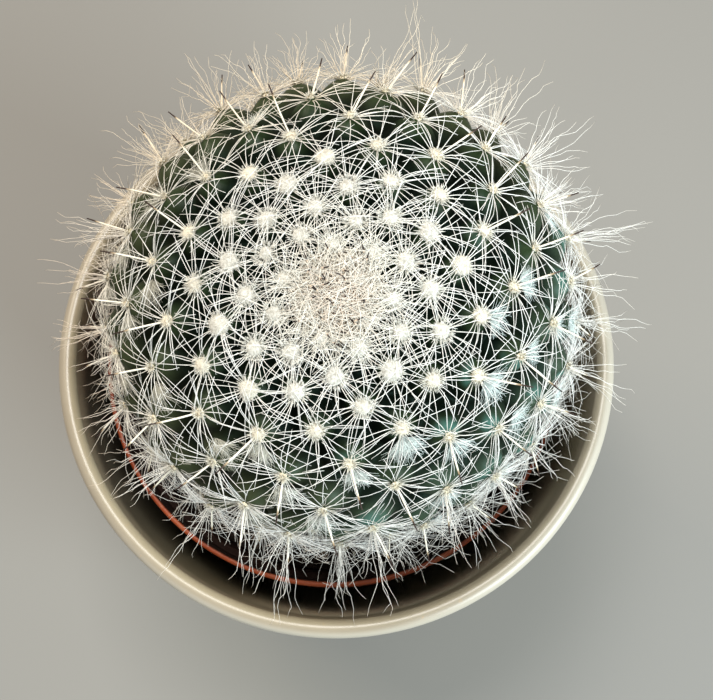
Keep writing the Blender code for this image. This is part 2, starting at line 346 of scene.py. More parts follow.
def makeGlaze():
    glaze = Finish("cream glaze", {"Coat Weight": 0.26, "Coat Roughness": 0.34})
    x, y, height = glaze.spot()
    across = (x * x + y * y) ** 0.5
    depth = outerPot["height"] - height
    right, left = x.between(5, 45), (x * -1).between(26, 46)
    front = glaze.toward((0.3, -0.95, 0))
    clouds, specks = glaze.noise(60, 3.0, 0.5), glaze.noise(900, 2.0, 0.5)
    body = clouds.between(0.3, 0.7).mix((0.315, 0.268, 0.20), (0.34, 0.293, 0.223))
    body = (specks.between(0.66, 0.74) * 0.5).mix(body, (0.42, 0.30, 0.18))
    # painted light: the glaze is lighter on the right, where the window light falls
    body = right.mix(body, (0.45, 0.415, 0.345))
    # painted shade: the lip's inner edge is darker and warmer
    innerLipShade = 1 - across.between(48.0, 49.0)
    body = (innerLipShade * 0.55).mix(body, (0.34, 0.285, 0.18))
    # painted highlight: the lip's outer edge is lighter toward the front
    outerLipHighlight = across.between(48.8, 49.8) * front.between(5, 35)
    body = (outerLipHighlight * 0.8).mix(body, (0.52, 0.485, 0.41))
    # painted shade: the inner wall is darker below the lip, most of all on the left, and painted light
    # leaves it lighter on the right and bright low down at the front
    shaded = right.mix((0.225, 0.194, 0.125), (0.335, 0.297, 0.198))
    shaded = left.mix(shaded, (0.085, 0.07, 0.05))
    shaded = (front.between(30, 44) * depth.between(4, 11)).mix(shaded, (0.85, 0.76, 0.56))
    innerWall = height * 0.135 + 35.6    # its radius at this height
    inside = 1 - (across - innerWall).between(0.2, 0.6)
    body = (inside * depth.between(0.8, 8)).mix(body, shaded)
    bare = 1 - height.between(0.3, 0.8)    # the foot ring has no glaze
    glaze.feed("Base Color", bare.mix(body, (0.55, 0.46, 0.36)))
    glaze.feed("Roughness", bare * 0.5 + 0.28 + clouds * 0.08)
    glaze.bump(clouds + specks * 0.15, 0.12, 0.25 * mm)
    return glaze


def makeOuterPot(glaze):
    lip, top, floor, corner = [outerPot[name] for name in ("lipRadius", "height", "floor", "corner")]
    edge = potInside(floor + corner) - corner
    profile = [(0, floor), (edge * 0.5, floor)]
    profile += arc((edge, floor + corner), corner, -90, 0, 10)
    profile += [(potInside(z), z) for z in np.linspace(floor + corner, top - 2 * lip, 22)[1:]]
    profile += arc((outerPot["rimRadius"] - lip, top - lip), lip, 180, 0, 20)
    foot, footHeight, heelRadius = outerPot["footRadius"], outerPot["footHeight"], outerPot["heelRadius"]
    heel = footHeight + corner
    profile += [(potOutside(z), z) for z in np.linspace(top - 2 * lip, heel, 22)]
    profile += arc((potOutside(heel) - heelRadius, heel), heelRadius, -8, -75, 8)
    profile += [(foot + 0.9, footHeight), (foot + 0.3, footHeight - 0.5), (foot, 0.4), (foot - 0.4, 0)]
    hollow = foot - outerPot["footWidth"]
    profile += [(hollow + 0.4, 0), (hollow, 0.4), (hollow - 0.2, footHeight), (0, footHeight)]
    return turned("outerPotShell", profile, outerPot["steps"], glaze)


place(makeOuterPot(makeGlaze()), "cachepot", "cachepot")
print("outer pot made")


# Inner pot, in millimetres

innerPot = {
    "centre": (-0.6, 1.8), "rimHeight": 77, "rimRadius": 42.5, "collar": 9,
    "neckRadius": 40.4, "baseRadius": 29.5, "base": 6.8, "wall": 1.0,
    "drainHoles": 6, "drainRadius": 3.5, "drainCircle": 19,
    "clearance": 0.9, "steps": 144,
}


def tubOutside(height):
    share = (height - innerPot["base"]) / (innerPot["rimHeight"] - innerPot["collar"] - innerPot["base"])
    return innerPot["baseRadius"] + (innerPot["neckRadius"] - innerPot["baseRadius"]) * share


def makePlastic():
    plastic = Finish("terracotta plastic", {})
    clouds, grain = plastic.noise(120), plastic.noise(2200, 2.0)
    body = clouds.between(0.3, 0.7).mix((0.27, 0.045, 0.012), (0.37, 0.076, 0.026))
    dust = plastic.noise(420, 5.0, 0.7).between(0.55, 0.72) * 0.3
    body = dust.mix(body, (0.40, 0.26, 0.17))
    # painted shade: the inside below the rim and the inner face of the collar are near black
    x, y, height = plastic.spot()
    left, back = x - innerPot["centre"][0], y - innerPot["centre"][1]
    across = (left * left + back * back) ** 0.5
    inside = 1 - (across - tubOutside(height)).between(0.1, 0.5)
    belowRim = 1 - (height + clouds * 0.6).between(76.5, 77.1)
    collarInside = (1 - (across + clouds * 0.4).between(41.8, 42.1)) * height.between(67.5, 68.5)
    paintedInsideShade = (inside * belowRim).maths("MAXIMUM", collarInside) * 0.97
    plastic.feed("Base Color", paintedInsideShade.mix(body, (0.007, 0.004, 0.003)))
    plastic.feed("Roughness", grain * 0.2 + 0.34)
    plastic.bump(grain, 0.2, 0.1 * mm)
    return plastic


def makeInnerPot(plastic):
    base, wall, rim, top = [innerPot[name] for name in ("base", "wall", "rimRadius", "rimHeight")]
    collar, neck, foot = top - innerPot["collar"], innerPot["neckRadius"], innerPot["baseRadius"]
    bead = wall / 2
    profile = [(0, base + wall), (foot - wall - 1, base + wall)]
    profile += [(tubOutside(z) - wall, z) for z in np.linspace(base + 2, collar, 10)]
    profile += [(neck - wall + 0.25, collar + 0.7), (rim - 1.7 * wall, collar + 1.3)]
    profile += [(rim - 1.5 * wall, collar + 2)]
    profile += [(rim - 1.2 * wall, top - 1.5), (rim - 1.15 * wall, top - 0.9)]
    profile += arc((rim - bead, top - bead), bead + 0.05, 165, 10, 10)
    profile += [(rim - 0.15, top - 1.2), (rim - 0.3, top - 1.6), (rim - 0.3, collar + 0.3)]
    profile += [(rim - 0.5, collar), (neck + 0.2, collar - 0.2), (neck, collar - 0.8)]
    profile += [(tubOutside(z), z) for z in np.linspace(collar - 1.5, base + 2, 10)]
    profile += [(foot - 0.3, base + 0.6), (foot - 1, base), (0, base)]
    piece = turned("innerPotShell", profile, innerPot["steps"], plastic)
    holes = bmesh.new()
    radius = innerPot["drainRadius"] * mm
    for i in range(innerPot["drainHoles"]):
        turn = Matrix.Rotation(math.tau * i / innerPot["drainHoles"], 4, "Z")
        spot = turn @ Matrix.Translation((innerPot["drainCircle"] * mm, 0, base * mm))
        bmesh.ops.create_cone(holes, cap_ends=True, segments=32, radius1=radius, radius2=radius,
                              depth=6 * wall * mm, matrix=spot)
    cutter = added("drainHoles", meshOf("drainHoles", holes))
    cut = piece.modifiers.new("drain", "BOOLEAN")
    cut.operation = "DIFFERENCE"
    cut.object = cutter
    applied(piece, plastic, innerPot["centre"])
    bpy.data.objects.remove(cutter)
    return piece


place(makeInnerPot(makePlastic()), "nursery_pot", "nursery_pot")
print("inner pot made")


# Strands and pads, which grow on points

def keepInPots(graph, where):
    # Bend what would cross a pot's wall along it instead, and lift it off the potting mix.
    x, y, z = where.split()
    outerRoom = potInside(outerPot["height"]) - outerPot["clearance"]
    innerRoom = innerPot["rimRadius"] - innerPot["wall"] - innerPot["clearance"]
    # each wall's middle, its top, the room at its top, how it widens and how strands spill out over it
    walls = [((0, 0), outerPot["height"], outerRoom, 0.13, 1.8),
             (innerPot["centre"], innerPot["rimHeight"], innerRoom, 0.17, 2.2)]
    for centre, top, room, slope, spill in walls:
        over = z - top * mm
        radius = over * slope + over.maths("MAXIMUM", 0.0) * spill + room * mm
        left, back = x - centre[0] * mm, y - centre[1] * mm
        share = (radius / (left * left + back * back).maths("SQRT")).maths("MINIMUM", 1.0)
        x, y = left * share + centre[0] * mm, back * share + centre[1] * mm
    floor = pottingMix["height"] + pottingMix["clearance"]
    return graph.vector(x, y, z.maths("MAXIMUM", floor * mm))


def spineGraph(finish, sides, steps):
    # Fans of tapering spines, one fan for each point that comes in.
    graph = Growth(finish.material.name, {
        "Count": 30.0, "Length": 8 * mm, "Length Spread": 0.15, "Young Length": 1.0,
        "Rise": 0.25, "Rise Spread": 0.1, "Young Rise": 0.0, "Young Spread": 0.0,
        "Swing": math.tau, "Sweep": 0.0, "Root Ring": 0.5 * mm,
        "Curl": 0.0, "Side Curl": 0.0, "Droop": 0.0, "Wave": 0.0, "Wave Count": 2.0,
        "Thickness": 0.16 * mm, "Tip": 0.3, "Blunt": 1.6, "Seed": 1})
    given, draw, attribute, direction = graph.given, graph.draw, graph.attribute, graph.direction
    goldenShare = 0.618034
    spots = graph.node("GeometryNodeMeshToPoints", None, {"Mesh": given["Geometry"]})
    points = graph.node("GeometryNodeDuplicateElements", {"domain": "POINT"},
                        {"Geometry": spots, "Amount": attribute("amount") * given["Count"]})
    axis, outward, young = direction("axis"), direction("outward"), attribute("young")
    side = axis.vectors("CROSS_PRODUCT", outward)
    turn = (points.out("Duplicate Index") * goldenShare + attribute("turn")).maths("FRACT") - 0.5
    angle = turn * given["Swing"] * attribute("open") + draw(-0.15, 0.15, 1)
    rise = given["Rise"] + given["Young Rise"] * young
    rise = rise + (given["Rise Spread"] + given["Young Spread"] * young) * draw(-1.0, 1.0, 2)
    flat = outward * angle.maths("COSINE") + side * angle.maths("SINE")
    flat = (flat + outward * given["Sweep"]).vectors("NORMALIZE")
    heading = flat * rise.maths("COSINE") + axis * rise.maths("SINE")
    reach = given["Length"] * attribute("reach") * (1 + given["Length Spread"] * draw(-1.0, 1.0, 3))
    reach = reach * (1 - young * (1 - given["Young Length"]))
    root = flat * (given["Root Ring"] * attribute("ring") * draw(0.02, 1.0, 4) ** 0.5)
    aside = given["Side Curl"] * attribute("open") * draw(-1.0, 1.0, 5)
    bend = heading.vectors("CROSS_PRODUCT", axis) * aside
    # what a whole strand shares is stored before its points are made
    shared = {
        "root": graph.node("GeometryNodeInputPosition") + root,
        "heading": heading,
        "bend": bend - axis * given["Curl"] - graph.vector(0.0, 0.0, given["Droop"]),
        "drift": graph.vector(draw(0.0, 90.0, 6), draw(0.0, 90.0, 7), draw(0.0, 90.0, 8)),
        "length": reach,
        "shade": draw(0.0, 1.0, 9),
    }
    for name, value in shared.items():
        points = graph.store(points, name, value)
    line = graph.node("GeometryNodeCurvePrimitiveLine", None, {"End": (0, 0, 1)})
    line = graph.node("GeometryNodeResampleCurve", None, {"Curve": line, "Count": steps})
    spines = graph.node("GeometryNodeInstanceOnPoints", None, {"Points": points, "Instance": line})
    spines = graph.node("GeometryNodeRealizeInstances", None, [spines])
    spines = graph.store(spines, "along", graph.node("GeometryNodeSplineParameter"))
    along, length = attribute("along"), attribute("length")
    where = direction("root") + direction("heading") * (length * along)
    where = where + direction("bend") * (length * along * along)
    wave = graph.wander(direction("drift") + graph.vector(along * given["Wave Count"], 0.0, 0.0), 1.0, 1.0)
    where = where + wave * (length * along * given["Wave"] * 2)
    spines = graph.node("GeometryNodeSetPosition", None, {0: spines, 2: keepInPots(graph, where)})
    taper = 1 - (1 - given["Tip"]) * along ** given["Blunt"]
    radius = given["Thickness"] * attribute("thick") * taper * 0.5
    ring = graph.node("GeometryNodeCurvePrimitiveCircle", None, {"Resolution": sides, "Radius": 1.0})
    values = {"Curve": spines, "Profile Curve": ring, "Scale": radius, "Fill Caps": True}
    return graph.end(graph.node("GeometryNodeCurveToMesh", None, values), finish)


def padGraph(finish, fineness=3):
    # A soft lumpy pad on each point, flattened along its axis.
    sizes = {"Width": 1.2 * mm, "Height": 0.7 * mm, "Lumps": 0.5 * mm, "Seed": 1}
    graph = Growth(finish.material.name, sizes)
    given = graph.given
    size = graph.attribute("reach") * graph.draw(0.85, 1.15, 1)
    spots = graph.node("GeometryNodeMeshToPoints", None, {"Mesh": given["Geometry"]})
    values = {
        "Points": graph.store(spots, "shade", graph.draw(0.0, 1.0, 2)),
        "Instance": graph.node("GeometryNodeMeshIcoSphere", None,
                               {"Radius": 1.0, "Subdivisions": fineness}),
        "Rotation": graph.node("FunctionNodeAlignRotationToVector", {"axis": "Z"},
                               {"Vector": graph.direction("axis")}),
        "Scale": graph.vector(given["Width"], given["Width"], given["Height"]) * size,
    }
    pads = graph.node("GeometryNodeInstanceOnPoints", None, values)
    pads = graph.node("GeometryNodeRealizeInstances", None, [pads])
    fluff = graph.wander(graph.node("GeometryNodeInputPosition"), 1800.0, 2.0)
    pads = graph.node("GeometryNodeSetPosition", None, {0: pads, 3: fluff * given["Lumps"]})
    return graph.end(pads, finish)


# Potting mix, in millimetres, with bark crumbs and grit mostly round the stem

pottingMix = {"height": 66, "lump": 0.9, "crumb": 0.35, "clearance": 1.2, "steps": 120,
              "grains": 900, "seed": 5}
mixGrains = {"Width": 0.75 * mm, "Height": 0.42 * mm, "Lumps": 0.55 * mm, "Seed": 9}


def makeMix():
    earth = Finish("damp potting mix", {"Roughness": 0.95, "Specular IOR Level": 0.2})
    crumbs = earth.noise(520, 6.0, 0.7)
    earth.feed("Base Color", crumbs.ramp((0.32, (0.006, 0.004, 0.003)), (0.55, (0.022, 0.014, 0.010)),
                                         (0.78, (0.06, 0.04, 0.027))))
    earth.bump(crumbs, 1.0, 1.2 * mm)
    return earth


def makeGrit():
    grit = Finish("grit and bark", {"Roughness": 0.85})
    grain = grit.noise(800, 4.0)
    body = grit.own("shade").ramp((0.0, (0.030, 0.018, 0.012)), (0.55, (0.085, 0.05, 0.03)),
                                  (0.86, (0.16, 0.10, 0.06)), (0.97, (0.50, 0.42, 0.25)))
    grit.feed("Base Color", (grain * 0.3).mix(body, (0.02, 0.014, 0.01)))
    grit.bump(grain, 0.7, 0.4 * mm)
    return grit


def makeMixBed(earth):
    inset = innerPot["wall"] + 0.3
    top, bottom = pottingMix["height"], innerPot["base"] + inset
    edge = tubOutside(top - 1) - inset
    profile = [(0, top)] + [(r, top) for r in np.linspace(1.5, edge - 0.8, 30)]
    profile += [(edge, top - 1), (tubOutside(bottom + 1) - inset - 1, bottom + 1)]
    profile += [(innerPot["baseRadius"] - inset - 2, bottom), (0, bottom)]
    piece = turned("mixBed", profile, pottingMix["steps"], earth, innerPot["centre"])
    for vertex in piece.data.vertices:
        if vertex.co.z > (top - 0.5) * mm:
            lump = noise.noise(vertex.co / (7 * mm) + Vector((3, 0, 0)))
            crumb = noise.noise(vertex.co / (1.4 * mm))
            vertex.co.z += (pottingMix["lump"] * (1.4 * lump - 0.4) + pottingMix["crumb"] * crumb) * mm
    return piece


def scatterGrains():
    draws = np.random.default_rng(pottingMix["seed"])
    count, (x, y) = pottingMix["grains"], innerPot["centre"]
    edge = tubOutside(pottingMix["height"]) - innerPot["wall"] - 1.5
    away = edge * np.sqrt(0.25 + 0.75 * draws.random(count))
    about = math.tau * draws.random(count)
    height = np.full(count, pottingMix["height"] + 0.3)
    where = np.stack([away * np.cos(about) + x, away * np.sin(about) + y, height], 1) * mm
    tilt = unit(draws.normal(0, 1, (count, 3)))
    return pointMesh(where, axis=tilt, reach=0.5 + 1.3 * draws.random(count) ** 2.5)


place(makeMixBed(makeMix()), "soil", "soil")
place(grow("mixGrains", scatterGrains(), padGraph(makeGrit(), 2), mixGrains), "soil")
print("potting mix made")


# Stem, in millimetres and degrees: a low globe that leans a little, and its areoles follow one spiral

stem = {
    "centre": (2.1, 1.3, 100), "radius": 39.8, "flatness": 0.85,
    "leanX": -3.6, "leanY": -4.6,
    "drift": (-1.1, 3.7, 0),                # how far the waist sits from the crown's axis
    "areoles": 148,
    "firstAzimuth": 138.84, "goldenAngle": -137.544,
    "spiral": (5.01, -0.502, 0.078),        # degrees from the crown
    "tubercleDepth": 0.46, "deepest": 5.4,  # of the spacing, and in millimetres
    "sharpness": 16, "valley": 0.56, "roundness": 1.7,    # how and where tubercles meet
    "seed": 21,
}
stemNeck = {"centre": (3.0, 7.8), "radius": 20, "bottom": 54, "top": 84, "steps": 96}


def lean(points):
    aside, ahead = math.radians(stem["leanX"]), -math.radians(stem["leanY"])
    turn = Matrix.Rotation(ahead, 3, "X") @ Matrix.Rotation(aside, 3, "Y")
    return points @ np.array(turn).T


def stemPoint(polar, azimuth):
    across = stem["radius"] * np.sin(polar)
    point = np.stack([across * np.cos(azimuth), across * np.sin(azimuth),
                      stem["radius"] * stem["flatness"] * np.cos(polar)], -1)
    point += np.array(stem["drift"]) * (1 - np.maximum(np.cos(polar), 0))[..., None]
    return (lean(point) + np.array(stem["centre"])) * mm


def stemNormal(polar, azimuth):
    across = np.sin(polar)
    return lean(unit(np.stack([across * np.cos(azimuth), across * np.sin(azimuth),
                               np.cos(polar) / stem["flatness"]], -1)))


def stemPlaces(polar, azimuth):
    # points in metres, the way out of the stem there, and the way down it from the crown
    tip = stemPoint(polar, azimuth)
    return tip, stemNormal(polar, azimuth), unit(stemPoint(polar + 0.02, azimuth) - tip)


def areoleAngles(index):
    count = index + 0.5
    root, linear, steep = stem["spiral"]
    polar = root * count ** 0.5 + linear * count + steep * count ** 1.5
    return np.radians(polar), np.radians(stem["firstAzimuth"] + stem["goldenAngle"] * index)


def rising(value, start, width):
    # 0 up to the start, 1 once the width is passed
    return np.clip((value - start) / width, 0, 1)


def facing(azimuth, side):
    # 1 toward a side, 0 at right angles to it and behind
    return np.clip(np.cos(azimuth - side), 0, 1)


areoleIndex = np.arange(stem["areoles"])
areolePolar, areoleAzimuth = areoleAngles(areoleIndex)
areoleTip, areoleAxis, areoleOutward = stemPlaces(areolePolar, areoleAzimuth)
areoleSide = np.cross(areoleAxis, areoleOutward)
apart = np.linalg.norm(areoleTip[:, None] - areoleTip[None], axis=2)
areoleSpacing = np.sort(apart, axis=1)[:, 1:6].mean(1)
# how young each areole is, and how plump its wool
areoleYoung = np.clip(1 - areolePolar / 0.5, 0, 1)
areolePlump = np.clip((np.radians(46) - areolePolar) / np.radians(22), 0, 1)


def makeSkin():
    skin = Finish("dark green skin", {"Specular IOR Level": 0.09, "Specular Tint": (0.4, 0.75, 0.6, 1),
                                      "Coat Roughness": 0.32})
    broad, fine = skin.noise(90, 2.0), skin.noise(1400)
    height = skin.own("height")
    # painted shade: the skin is near black down in the valleys between tubercles and green on their tops
    deep = broad.between(0.35, 0.65).mix((0.001, 0.0018, 0.0008), (0.0015, 0.003, 0.0014))
    high = broad.between(0.3, 0.7).mix((0.014, 0.026, 0.007), (0.025, 0.045, 0.016))
    colour = height.between(0.45, 1.0).mix(deep, high)
    colour = (fine.between(0.45, 0.75) * height * 0.04).mix(colour, (0.09, 0.15, 0.11))
    # low down the skin is paler, with painted light on the side toward the window, where it turns bluish
    # green, and painted shade away from it, where it turns olive
    near = skin.toward((0.78, -0.62, 0)).between(4, 32)
    low = (125 - skin.spot()[2]).between(0, 10)
    pale = near.mix((0.056, 0.062, 0.030), (0.056, 0.090, 0.062))
    colour = (low * (height.between(0.25, 0.9) * 0.5 + 0.09)).mix(colour, pale)
    # painted highlight: the bumps' tops turn bluish on the side that faces the window, in place of its
    # reflection
    paintedGlint = skin.noise(150, 2.0).between(0.50, 0.62) * height.between(0.62, 0.95)
    skin.feed("Base Color", (paintedGlint * near * 0.6).mix(colour, (0.10, 0.27, 0.24)))
    skin.feed("Roughness", fine * 0.2 + 0.40)
    skin.feed("Coat Weight", height.between(0.5, 0.95) * 0.25)
    skin.bump(fine, 0.25, 0.15 * mm)
    return skin


def makeCork():
    cork = Finish("corky neck", {"Roughness": 0.85})
    grain = cork.noise(260, 5.0, 0.65, (1, 1, 0.5))
    cork.feed("Base Color", grain.ramp((0.3, (0.06, 0.035, 0.018)), (0.7, (0.22, 0.15, 0.085))))
    cork.bump(grain, 0.8, 0.8 * mm)
    return cork


def makeStem(skin):
    ball = bmesh.new()
    bmesh.ops.create_icosphere(ball, subdivisions=7, radius=1)
    mesh = meshOf("stemSkin", ball)
    co = np.zeros(len(mesh.vertices) * 3)
    mesh.vertices.foreach_get("co", co)
    x, y, z = co.reshape(-1, 3).T
    polar, azimuth = np.arccos(np.clip(z, -1, 1)), np.arctan2(y, x)
    base, normal = stemPoint(polar, azimuth), stemNormal(polar, azimuth)
    # tubercles meet in valleys halfway between their areoles
    far = np.linalg.norm(base[:, None] - areoleTip[None], axis=2) / areoleSpacing[None]
    weight = np.exp(-stem["sharpness"] * far)
    nearest = -np.log(weight.sum(1)) / stem["sharpness"]
    depth = np.minimum(stem["tubercleDepth"] * areoleSpacing, stem["deepest"] * mm)
    depth = (weight * depth).sum(1) / weight.sum(1)
    relief = 1 - np.clip(nearest / stem["valley"], 0, 1.15) ** stem["roundness"]
    # below the last areoles the stem is plain
    low = rising(polar, areolePolar[-1] + 0.12, 0.25)
    co = base - normal * (depth * (1 - relief) * (1 - low) + low * 0.6 * depth)[:, None]
    mesh.vertices.foreach_set("co", co.ravel())
    mesh.attributes.new("height", "FLOAT", "POINT").data.foreach_set("value", relief.astype(np.float32))
    mesh.shade_smooth()
    mesh.materials.append(skin.material)
    return added("stemSkin", mesh)


def makeNeck(cork):
    (x, y), radius = stemNeck["centre"], stemNeck["radius"]
    low, high = stemNeck["bottom"], stemNeck["top"]
    profile = [(0, high), (radius * 0.98, high)]
    for share in np.linspace(0.97, 0.04, 24):
        profile.append((radius * (0.9 + 0.1 * share) - 0.2, low + (high - low) * share))
    profile += [(radius * 0.84, low), (0, low)]
    piece = turned("stemNeck", profile, stemNeck["steps"], cork, (x, y))
    for vertex in piece.data.vertices:
        across = Vector((vertex.co.x - x * mm, vertex.co.y - y * mm, 0))
        if across.length > 0.6 * radius * mm:
            ridge = noise.noise(Vector((vertex.co.x, vertex.co.y, vertex.co.z * 0.6)) / (3.2 * mm))
            vertex.co -= across.normalized() * (0.35 + 0.5 * ridge) * mm
    return piece


place(makeStem(makeSkin()), "cactus", "cactus")
place(makeNeck(makeCork()), "cactus")
print("stem made")


# Spines and wool of the areoles

def makeSpine(title, root, middle, tip, tipFrom, tipTo=1.0, roughness=0.45, before=None):
    # A spine's colour runs from its root to its tip, and no two are quite alike.
    spine = Finish(title, {"Roughness": roughness, "Specular IOR Level": 0.4})
    along = spine.own("along")
    body = along.between(0.0, 0.35).mix(root, middle)
    body = (spine.own("shade") * 0.2).mix(body, tuple(channel * 0.8 for channel in middle))
    body = (spine.noise(900, 2.0).between(0.4, 0.8) * 0.08).mix(body, (0.75, 0.62, 0.42))
    if before:
        body = along.between(tipFrom - 0.1, tipFrom).mix(body, before)
    spine.feed("Base Color", along.between(tipFrom, tipTo).mix(body, tip))
    return spine


def makeWool():
    # white on the young pads, cream with brown specks on the old ones
    wool = Finish("areole wool", {"Roughness": 0.9, "Specular IOR Level": 0.15, "Sheen Weight": 0.3})
    fluff = wool.noise(2400, 4.0, 0.7)
    fresh = fluff.ramp((0.3, (0.34, 0.32, 0.27)), (0.62, (0.72, 0.71, 0.66)))
    specks = wool.noise(2600, 2.0).between(0.56, 0.64) * 0.75
    old = specks.mix((0.84, 0.76, 0.57), (0.26, 0.14, 0.055))
    wool.feed("Base Color", wool.own("young").mix(old, fresh))
    wool.bump(fluff, 0.6, 0.3 * mm)
    return wool


def onAreoles(which, lift, **values):
    # points on some of the areoles, lifted out of them by millimetres
    given = {"axis": areoleAxis[which], "outward": areoleOutward[which], **values}
    return pointMesh(areoleTip[which] + areoleAxis[which] * lift * mm, **given)


towardLeft, towardBack = (-1, 0, 0), (-0.26, 0.97, 0)
white = makeSpine("white radial spine", (0.95, 0.93, 0.85), (0.96, 0.96, 0.94), (0.92, 0.92, 0.90), 0.9)
white.tintYoung((0.84, 0.79, 0.68), 0.7)
cream = makeSpine("cream central spine", (0.92, 0.89, 0.78), (0.92, 0.87, 0.74), (0.030, 0.012, 0.008),
                  0.75, 0.82, before=(0.34, 0.25, 0.15))
# painted shade: the fuzz is darker at its roots
fuzz = makeSpine("cream fuzz", (0.58, 0.51, 0.37), (0.86, 0.82, 0.70), (0.92, 0.90, 0.84), 0.6)
fuzz.tintYoung((0.86, 0.86, 0.82), 0.75)
hair = makeSpine("long white hair", (0.82, 0.79, 0.72), (0.86, 0.84, 0.80), (0.72, 0.66, 0.58), 0.8)
# painted warm light: toward the back and the left, where the lamp stands, the spines and hairs turn tan or
# cream, and the long hairs on the left darker as painted shade
for strand, until in ((white, None), (cream, 0.73), (hair, None)):
    strand.tintAcross(towardBack, 14, 44, (0.86, 0.72, 0.53), 0.75, until)
white.tintAcross(towardLeft, 24, 42, (0.93, 0.82, 0.62), 0.55)
hair.tintAcross(towardLeft, 30, 46, (0.74, 0.60, 0.46), 0.7)

radialSpines = {
    "Count": 32.0, "Length": 7.5 * mm, "Length Spread": 0.2, "Young Length": 0.55, "Rise": 0.34,
    "Rise Spread": 0.20, "Young Rise": 0.30, "Young Spread": 0.35, "Sweep": 0.10,
    "Root Ring": 0.8 * mm, "Curl": 0.22, "Side Curl": 0.30, "Wave": 0.06, "Wave Count": 1.4,
    "Thickness": 0.152 * mm, "Tip": 0.45, "Seed": 3,
}
centralSpines = {
    "Count": 1.4, "Length": 8.2 * mm, "Length Spread": 0.12, "Young Length": 0.45, "Rise": 0.70,
    "Rise Spread": 0.16, "Young Rise": 0.8, "Swing": 1.0, "Root Ring": 0.25 * mm, "Curl": 0.04,
    "Side Curl": 0.06, "Thickness": 0.30 * mm, "Tip": 0.62, "Blunt": 5.0, "Seed": 8,
}
areoleWool = {"Width": 0.78 * mm, "Height": 0.5 * mm, "Lumps": 0.6 * mm, "Seed": 4}
areoleFuzz = {
    "Count": 54.0, "Length": 1.0 * mm, "Length Spread": 0.4, "Rise": 0.7, "Rise Spread": 0.7,
    "Root Ring": 0.95 * mm, "Curl": 0.3, "Side Curl": 0.4, "Thickness": 0.13 * mm, "Tip": 0.5,
    "Seed": 5,
}

areoleTurn = np.random.default_rng(stem["seed"]).random(stem["areoles"])
# the fans thin out away from the crown, fill again toward the edge and thin out under the waist
thin = 0.46 * rising(areolePolar, 0.34, 0.2) + 0.03 * rising(areolePolar, 0.65, 0.25)
thin += 0.07 * facing(areoleAzimuth, 2.1) * rising(areolePolar, 0.3, 0.2)
outermost, skirted = rising(areolePolar, 0.86, 0.5), 0.34 * rising(areolePolar, 1.18, 0.2)
fans = onAreoles(areoleIndex, -0.25, young=areoleYoung, turn=areoleTurn, ring=1 + 0.5 * areolePlump,
                 amount=1.14 - thin + 0.5 * outermost - skirted - 0.4 * areoleYoung,
                 thick=1.07 - 0.13 * areolePlump - 0.27 * outermost)
place(grow("radialSpines", fans, spineGraph(white, 3, 5), radialSpines), "spines", "cactus")

spears = onAreoles(areoleIndex, -0.25, young=areoleYoung, turn=areoleTurn, amount=1 - 0.62 * areolePlump)
place(grow("centralSpines", spears, spineGraph(cream, 6, 6), centralSpines), "spines")

pads = onAreoles(areoleIndex, 0, young=areolePlump, reach=0.75 + 1.25 * areolePlump - 0.8 * areoleYoung)
place(grow("areoleWool", pads, padGraph(makeWool()), areoleWool), "spines")

tassels = onAreoles(areoleIndex, 0.3, young=areolePlump, turn=areoleTurn, amount=0.8 + 1.9 * areolePlump,
                    reach=0.85 - 0.1 * areolePlump, ring=0.55 + 1.2 * areolePlump)
place(grow("areoleFuzz", tassels, spineGraph(fuzz, 3, 3), areoleFuzz), "spines")
print("areoles dressed")


# Crown: a mat of short spines over wool, in millimetres and degrees, with a few brown tips among them

crown = {
    "mats": 86, "spread": 9.9, "lift": 0.8, "turn": 137.5,
    "firstTurn": 0.4,       # in radians
    "tips": 27, "tipLift": 0.9, "seed": 22,
    "shift": (3.0, -68),    # how far the mat's middle lies from the spiral's own, and to which side
}
crownWool = {"reach": 10.0, "sunk": 0.35, "depth": 2.5, "lumps": 0.28, "pinkReach": 6.5,
             "steps": 96, "rings": 40}
crownSpines = {
    "Count": 8.0, "Length": 4.6 * mm, "Length Spread": 0.3, "Rise": 0.22, "Rise Spread": 0.2,
    "Root Ring": 1.0 * mm, "Curl": 0.22, "Side Curl": 0.85, "Wave": 0.05, "Wave Count": 1.2,
    "Thickness": 0.135 * mm, "Tip": 0.5, "Seed": 12,
}
crownTips = {
    "Count": 1.0, "Length": 1.35 * mm, "Length Spread": 0.3, "Rise": 0.5, "Rise Spread": 0.35,
    "Root Ring": 0.8 * mm, "Curl": 0.1, "Side Curl": 0.3, "Thickness": 0.26 * mm, "Tip": 0.6,
    "Seed": 15,
}


def makeCrownColour():
    # painted shade: the wool under the mat of spines is dark, darkest between its tufts; it runs from cream
    # at its edge to brownish pink in the middle
    wool = Finish("crown wool", {"Roughness": 0.9, "Specular IOR Level": 0.15, "Sheen Weight": 0.3})
    fluff = wool.noise(1600, 3.0, 0.7)
    light = wool.own("young").between(0.15, 0.75).mix((0.33, 0.28, 0.20), (0.22, 0.11, 0.075))
    wool.feed("Base Color", fluff.between(0.35, 0.7).mix(light, (0.09, 0.05, 0.035)))
    wool.bump(fluff, 0.8, 0.3 * mm)
    return wool


def crownPlaces(polar, azimuth):
    away, side = crown["shift"]
    spot = polar * np.exp(1j * azimuth) + np.radians(away) * np.exp(1j * np.radians(side))
    return stemPlaces(np.abs(spot), np.angle(spot))


